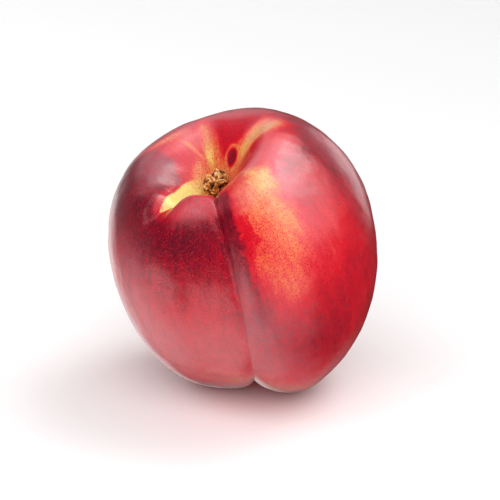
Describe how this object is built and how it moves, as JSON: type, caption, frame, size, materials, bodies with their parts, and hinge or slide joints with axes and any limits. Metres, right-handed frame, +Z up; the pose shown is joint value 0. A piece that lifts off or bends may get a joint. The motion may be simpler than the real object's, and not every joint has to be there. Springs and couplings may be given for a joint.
{
  "type": "nectarine",
  "caption": "Whole ripe nectarine lying on the rounded halves beside its suture, stem cavity up and tipped forward with a dried stub of stem in it.",
  "frame": {"origin": "centre of the bounding box at the level of the flats the fruit rests on", "axes": "+Z up; the suture faces -Y; +X towards the larger cheek"},
  "size_m": [0.0676, 0.071, 0.0714],
  "materials": {
    "skin": "smooth waxy skin, red blush over yellow",
    "dry_stem": "rough dry broken wood"
  },
  "bodies": {
    "root": {"fruit": "skin", "stem_stub": "dry_stem"}
  },
  "joints": []
}
